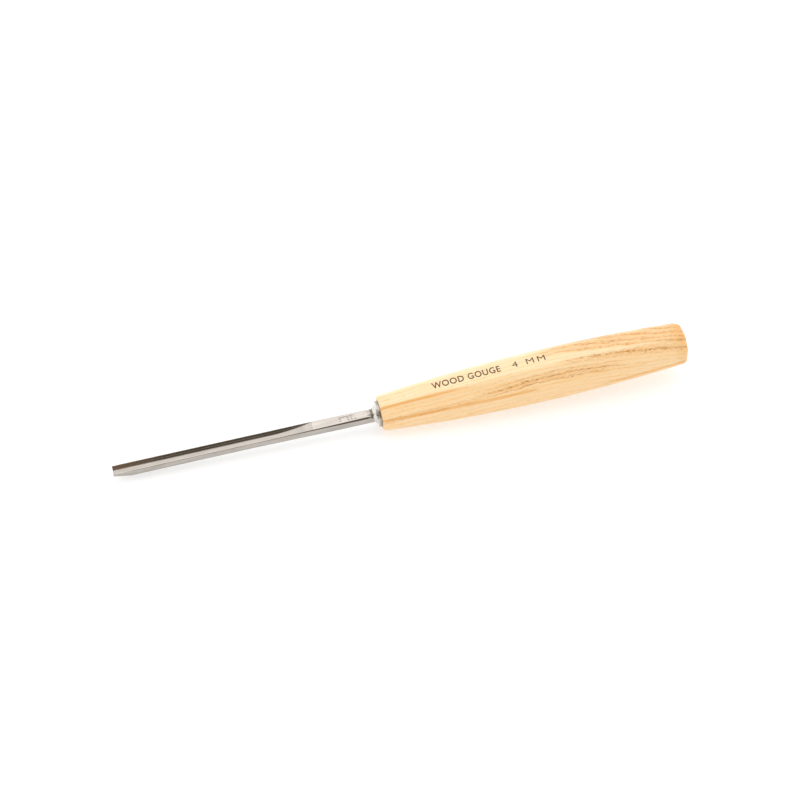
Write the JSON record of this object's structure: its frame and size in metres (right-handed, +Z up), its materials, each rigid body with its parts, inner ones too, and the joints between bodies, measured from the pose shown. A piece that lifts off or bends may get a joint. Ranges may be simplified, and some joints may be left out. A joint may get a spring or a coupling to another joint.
{
  "type": "carving gouge",
  "caption": "Straight wood carving gouge: narrow steel blade with a square-cornered U flute and outside bevel, flared bolster, and an octagonal barrel-shaped hardwood handle.",
  "frame": {"origin": "centre of the bounding box in X and Y, on the bench surface at Z = 0, with the tool lying in its resting pose", "axes": "+X runs from the cutting edge to the butt of the handle, +Z is up, the flute opens upwards, +Y completes the right-handed frame"},
  "size_m": [0.2512, 0.0216, 0.0238],
  "materials": {
    "blade_steel": "ground and polished tool steel",
    "ferrule_steel": "plain turned steel ring",
    "handle_ash": "smooth oiled ash with fine pores"
  },
  "bodies": {
    "root": {"gouge_blade": "blade_steel", "inner_ferrule": "ferrule_steel", "handle": "handle_ash"}
  },
  "joints": []
}
